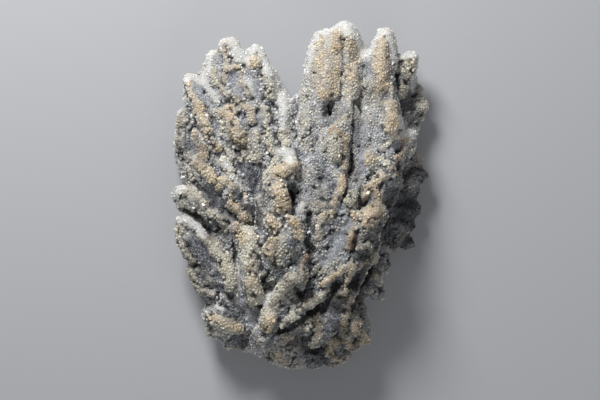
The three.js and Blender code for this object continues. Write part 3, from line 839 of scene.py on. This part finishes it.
# White rims and crests, partly painted rim glow.
frost_and_glow_share = stretched(tint, drift, 0.35, 0.6, 0.7, 1.0)
frost_and_glow_share = maths(tint, "MULTIPLY", told.outputs["Frost_and_painted_glow"], frost_and_glow_share)
colour = mixed(tint, frost_and_glow_share, colour, FROST_AND_GLOW_WHITE)
rusty = stretched(tint, speck, 0.35, 0.6, 0.25, 0.8)
rusty = maths(tint, "MULTIPLY", told.outputs["Iron"], rusty)
colour = mixed(tint, rusty, colour, RUST)
stone = mixed(tint, stretched(tint, speck, 0.35, 0.65), FACE_DARK, FACE_LIGHT)
veiled = stretched(tint, drift, 0.3, 0.6, 0.5, 1.0)
veiled = maths(tint, "MULTIPLY", told.outputs["Pale"], veiled)
stone = mixed(tint, veiled, stone, FACE_PALE)
glint = stretched(tint, told.outputs["Tone"], 0.75, 0.95, 0.0, 0.7)
stone = mixed(tint, glint, stone, FACE_PALE)
colour = mixed(tint, told.outputs["Bare"], colour, stone)
# Painted shade: the colour darkened by that grey where the shade mask says.
in_painted_shade = mixed(tint, 1.0, colour, PAINTED_SHADE, "MULTIPLY")
colour = mixed(tint, told.outputs["Painted_shade"], colour, in_painted_shade)
crest = maths(tint, "MAXIMUM", told.outputs["Tan"], told.outputs["Cream"])
spread = maths(tint, "MULTIPLY_ADD", crest, -0.22, 0.58)
shade = maths(tint, "MULTIPLY", maths(tint, "SUBTRACT", told.outputs["Tone"], 0.5), spread)
shade = maths(tint, "ADD", shade, 1.0)
tint.links.new(scaled(tint, colour, shade), shown.inputs[0])


def read(tree, name):
    return node(tree, "ShaderNodeAttribute", attribute_name=name).outputs["Fac"]


def new_material(name):
    made = bpy.data.materials.new(name)
    made.use_nodes = True
    return made, made.node_tree, made.node_tree.nodes["Principled BSDF"]


def set_on(surface, values):
    for name, value in values.items():
        surface.inputs[name].default_value = value


def tinted(tree, tone):
    group = tree.nodes.new("ShaderNodeGroup")
    group.node_tree = tint
    for label in TINTS:
        tree.links.new(read(tree, label.lower()), group.inputs[label])
    tree.links.new(tone, group.inputs["Tone"])
    return group.outputs["Color"]


skin_finish, tree, surface = new_material("bare calcite")
where = node(tree, "ShaderNodeTexCoord").outputs["Object"]
glitter = noise_of(tree, where, GLITTER_SCALE, 2.0, 0.6)
along = node(tree, "ShaderNodeCombineXYZ", {"X": read(tree, "turn"), "Y": read(tree, "reach")})
streaks = noise_of(tree, along.outputs[0], 1.0, 2.0)
grooved = stretched(tree, streaks, 0.56, 0.4, 0.0, 0.8)
grooved = maths(tree, "MULTIPLY", read(tree, "grooves"), grooved)
colour = tinted(tree, stretched(tree, glitter, 0.25, 0.75, -1.0, 2.0))
crest = maths(tree, "MAXIMUM", read(tree, "tan"), read(tree, "cream"))
# Painted shade on the skin between the grains, less on the crests and none on bare faces.
gaps = maths(tree, "MULTIPLY_ADD", crest, -0.3, 0.6)
gaps = maths(tree, "MULTIPLY", maths(tree, "SUBTRACT", 1.0, read(tree, "bare")), gaps)
colour = mixed(tree, gaps, colour, SHADOWED)
colour = mixed(tree, grooved, colour, PAINTED_PIT_SHADE_AND_LINES)
# Painted shade in the pits and hollows.
colour = mixed(tree, read(tree, "pits"), colour, PAINTED_PIT_SHADE_AND_LINES)
# The white rims on the skin, partly painted rim glow.
colour = mixed(tree, maths(tree, "MULTIPLY", read(tree, "frost_and_painted_glow"), 0.6), colour, FROST_AND_GLOW_WHITE)
height = maths(tree, "SUBTRACT", glitter, grooved)
crust = node(tree, "ShaderNodeBump", {"Height": height, "Strength": 0.6, "Distance": 0.3 * MM})
tree.links.new(crust.outputs[0], surface.inputs["Normal"])
tree.links.new(colour, surface.inputs["Base Color"])
set_on(surface, {
    "Roughness": 0.55,
    "Subsurface Weight": 0.2,
    "Subsurface Radius": (1.0, 0.9, 0.8),
    "Subsurface Scale": 1.0 * MM,
})
body.data.materials.clear()
body.data.materials.append(skin_finish)
body.data.shade_smooth()
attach(body, "root")
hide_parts("crystal_cluster")

# ---- The druse ------------------------------------------------------------------------------
# A coat of tiny calcite crystals, each a rounded rhomb of about a millimetre. They grew packed
# side by side over the blades, finer on the crests and rims, and left some faces bare.

GRAIN_SPACING = 0.65 * MM
GRAIN_SMALLEST = 0.62 * MM
GRAIN_LARGEST = 1.15 * MM
GRAIN_SINK = 0.22  # how deep a grain's middle lies, as a share of its size
GRAIN_CROWDING = 1.2e7  # grains tried on a square metre, before the spacing thins them
GRAIN_SMALLNESS = 1.6  # more than 1: more small grains than large ones
SHORTEST = 0.65  # a grain's width in each direction, as a share of its size
LONGEST = 1.4
RHOMB_WIDTH = 0.74
RHOMB_LEAN = 0.22
CORNER_WEAR = (0.84, 1.1)  # how far a corner lies from a grain's middle, as a share
NO_GRAINS_BELOW = 0.7 * MM
FIRST_SEED = 21

druse_finish, tree, surface = new_material("calcite druse")
tree.links.new(tinted(tree, read(tree, "tone")), surface.inputs["Base Color"])
set_on(surface, {
    "Roughness": 0.28,
    "Subsurface Weight": 0.35,
    "Subsurface Radius": (1.0, 0.85, 0.7),
    "Subsurface Scale": 0.5 * MM,
})


def grain_mesh(name, seed, rhomb):
    """A crystal grain about one unit across: a leaning rhomb, or a rounded many-sided one."""
    rng = np.random.default_rng(seed)
    shape = bmesh.new()
    if rhomb:
        bmesh.ops.create_cube(shape, size=RHOMB_WIDTH)
        for corner in shape.verts:
            corner.co.x += RHOMB_LEAN * corner.co.z
    else:
        bmesh.ops.create_icosphere(shape, subdivisions=1, radius=0.5)
    for corner in shape.verts:
        corner.co *= rng.uniform(*CORNER_WEAR)
    bmesh.ops.triangulate(shape, faces=shape.faces)
    for face in shape.faces:
        face.smooth = not rhomb and seed % 2 == 0
    mesh = bpy.data.meshes.new(name)
    shape.to_mesh(mesh)
    shape.free()
    return mesh


grain_models = [
    placed(f"grain_{i}", grain_mesh(f"grain_{i}", 40 + i, rhomb))
    for i, rhomb in enumerate((False, True, False, False))
]


def new_tree(name, *inputs):
    """A Geometry Nodes tree with the given named inputs, and its input and output nodes."""
    tree = bpy.data.node_groups.new(name, "GeometryNodeTree")
    tree.interface.new_socket("Geometry", in_out="INPUT", socket_type="NodeSocketGeometry")
    for label, kind, value in inputs:
        socket = tree.interface.new_socket(label, in_out="INPUT", socket_type=kind)
        socket.default_value = value
    tree.interface.new_socket("Geometry", in_out="OUTPUT", socket_type="NodeSocketGeometry")
    return tree, tree.nodes.new("NodeGroupInput"), tree.nodes.new("NodeGroupOutput")


def named(tree, name):
    return node(tree, "GeometryNodeInputNamedAttribute", {"Name": name},
                data_type="FLOAT").outputs["Attribute"]


def random_number(tree, low, high, seed, kind="FLOAT"):
    slots = {"FLOAT": (2, 3, 1), "FLOAT_VECTOR": (0, 1, 0), "INT": (4, 5, 2)}[kind]
    made = node(tree, "FunctionNodeRandomValue", {slots[0]: low, slots[1]: high, "Seed": seed},
                data_type=kind)
    return made.outputs[slots[2]]


coat, given, grown = new_tree(
    "druse of calcite grains",
    ("Spacing", "NodeSocketFloat", GRAIN_SPACING),
    ("Smallest", "NodeSocketFloat", GRAIN_SMALLEST),
    ("Largest", "NodeSocketFloat", GRAIN_LARGEST),
    ("Sink", "NodeSocketFloat", GRAIN_SINK),
    ("Seed", "NodeSocketInt", FIRST_SEED),
)
scattered = node(coat, "GeometryNodeDistributePointsOnFaces", {
    "Mesh": given.outputs["Geometry"],
    "Distance Min": given.outputs["Spacing"],
    "Density Max": GRAIN_CROWDING,
    "Density Factor": named(coat, "coat"),
    "Seed": given.outputs["Seed"],
}, distribute_method="POISSON")
size = maths(coat, "POWER", random_number(coat, 0.0, 1.0, seed=32), GRAIN_SMALLNESS)
size = stretched(coat, size, 0.0, 1.0, given.outputs["Smallest"], given.outputs["Largest"])
size = maths(coat, "MULTIPLY", size, named(coat, "grain_size"))
depth = maths(coat, "MULTIPLY", size, given.outputs["Sink"])
depth = maths(coat, "MULTIPLY", depth, -1.0)
inward = scaled(coat, scattered.outputs["Normal"], depth)
sunk = node(coat, "GeometryNodeSetPosition", {
    "Geometry": scattered.outputs["Points"], "Offset": inward,
})
shapes = node(coat, "GeometryNodeJoinGeometry")
for model in reversed(grain_models):
    told_model = node(coat, "GeometryNodeObjectInfo", {"Object": model})
    single = node(coat, "GeometryNodeGeometryToInstance", {0: told_model.outputs["Geometry"]})
    coat.links.new(single.outputs[0], shapes.inputs[0])
roll = random_number(coat, (0, 0, 0), (math.tau,) * 3, seed=31, kind="FLOAT_VECTOR")
stretch = random_number(coat, (SHORTEST,) * 3, (LONGEST,) * 3, seed=33, kind="FLOAT_VECTOR")
stretch = scaled(coat, stretch, size)
stood = node(coat, "GeometryNodeInstanceOnPoints", {
    "Points": sunk.outputs[0],
    "Instance": shapes.outputs[0],
    "Pick Instance": True,
    "Instance Index": random_number(coat, 0, len(grain_models) - 1, seed=34, kind="INT"),
    "Scale": stretch,
})
turn = node(coat, "FunctionNodeEulerToRotation", {0: roll})
coat.links.new(turn.outputs[0], stood.inputs["Rotation"])
toned = node(coat, "GeometryNodeStoreNamedAttribute", {
    "Geometry": stood.outputs[0], "Name": "tone", "Value": random_number(coat, 0.0, 1.0, seed=35),
}, data_type="FLOAT", domain="INSTANCE")
real = node(coat, "GeometryNodeRealizeInstances", {0: toned.outputs[0]})
finished = node(coat, "GeometryNodeSetMaterial", {
    "Geometry": real.outputs[0], "Material": druse_finish,
})
coat.links.new(finished.outputs[0], grown.inputs[0])

# How thick the coat is and how coarse its grains are at each vertex.
above_floor = ease(place[:, 2], NO_GRAINS_BELOW, 2 * NO_GRAINS_BELOW)
covered = (1 - 0.93 * bare) * above_floor * (1 - 0.9 * pits)
covered *= 1 - 0.7 * ease(frost_and_painted_glow, 0.4, 0.9)
coarse = 1.05 - 0.12 * np.maximum(tan, cream) + 0.12 * patchy
keep(body.data, "grain_size", np.clip(coarse, 0.7, 1.4))
under = 1 - ease(normal[:, 2], -0.3, 0.0)
left = 1 - ease(table_x, -6, 0)
upper = ease(table_y, 44, 50)
fine = above_floor * (1 - under) * np.maximum(ease(frost_and_painted_glow, 0.3, 0.6), 0.6 * bare)

# The coat's pieces: name, share of the skin, coarseness, and how deep the grains lie.
COATS = [
    ("druse_left_fan", covered * (1 - under) * left, 1.15, 0.2),
    ("druse_right_fan", covered * (1 - under) * (1 - left) * upper, 1.0, 0.2),
    ("druse_foot", covered * (1 - under) * (1 - left) * (1 - upper), 1.1, 0.2),
    ("druse_back", covered * under, 1.35, GRAIN_SINK),
    ("druse_fine", fine, 0.6, 0.3),
]
for number, (name, share, scale, sink) in enumerate(COATS):
    druse = placed(name, body.data.copy())
    keep(druse.data, "coat", share)
    grow = druse.modifiers.new("grains", "NODES")
    grow.node_group = coat
    told_values = {
        "Seed": FIRST_SEED + number,
        "Spacing": GRAIN_SPACING * scale,
        "Smallest": GRAIN_SMALLEST * scale,
        "Largest": GRAIN_LARGEST * scale,
        "Sink": sink,
    }
    for socket in coat.interface.items_tree:
        if socket.name in told_values:
            grow[socket.identifier] = told_values[socket.name]
    druse.data = baked(druse)
    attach(druse, "root")
    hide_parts("crystal_cluster")
for model in grain_models:
    bpy.data.objects.remove(model)

# ---- Floor, light and camera ----------------------------------------------------------------
# A plain pale floor that the specimen lies on, a soft key light beyond its tips, a weak fill,
# and a camera straight above.

FLOOR_REACH = 2  # from the middle to each edge
FLOOR_COLOUR = (0.55, 0.56, 0.58, 1)
ROOM_COLOUR = (0.9, 0.95, 1.0, 1)
ROOM_LIGHT = 0.14
LAMPS = [  # name, place, width and power
    ("key", (-0.13, 0.33, 0.27), 0.14, 1.9),
    ("fill", (0.25, -0.55, 0.25), 0.5, 1.05),
]
LAMPS_FACE = (0, 0, 0.015)
CAMERA_OVER = (-0.56, 48.44)  # X and Y in the tables above
CAMERA_HEIGHT = 0.72
CAMERA_LENS = 150
CAMERA_SENSOR = 36

floor_mesh = bpy.data.meshes.new("floor")
floor_mesh.from_pydata(
    [(x * FLOOR_REACH, y * FLOOR_REACH, 0) for x, y in [(-1, -1), (1, -1), (1, 1), (-1, 1)]],
    [], [(0, 1, 2, 3)],
)
floor = placed("floor", floor_mesh)
paper, _, surface = new_material("pale floor")
set_on(surface, {"Base Color": FLOOR_COLOUR, "Roughness": 0.8})
floor_mesh.materials.append(paper)
floor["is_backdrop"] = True

for name, where, width, power in LAMPS:
    lamp = bpy.data.lights.new(name, "AREA")
    lamp.size = width
    lamp.energy = power
    softbox = placed(name, lamp)
    softbox.location = where
    aim = Vector(LAMPS_FACE) - Vector(where)
    softbox.rotation_euler = aim.to_track_quat("-Z", "Y").to_euler()

world = bpy.data.worlds.new("room")
bpy.context.scene.world = world
world.use_nodes = True
set_on(world.node_tree.nodes["Background"], {"Color": ROOM_COLOUR, "Strength": ROOM_LIGHT})

camera = placed("camera", bpy.data.cameras.new("camera"))
camera.data.lens = CAMERA_LENS
camera.data.sensor_width = CAMERA_SENSOR
camera.location = (
    (MIDDLE_X + CAMERA_OVER[0]) * MM, (FOOT_Y + CAMERA_OVER[1]) * MM, CAMERA_HEIGHT
)
bpy.context.scene.camera = camera
bpy.context.scene.view_settings.view_transform = "Standard"

low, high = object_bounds()
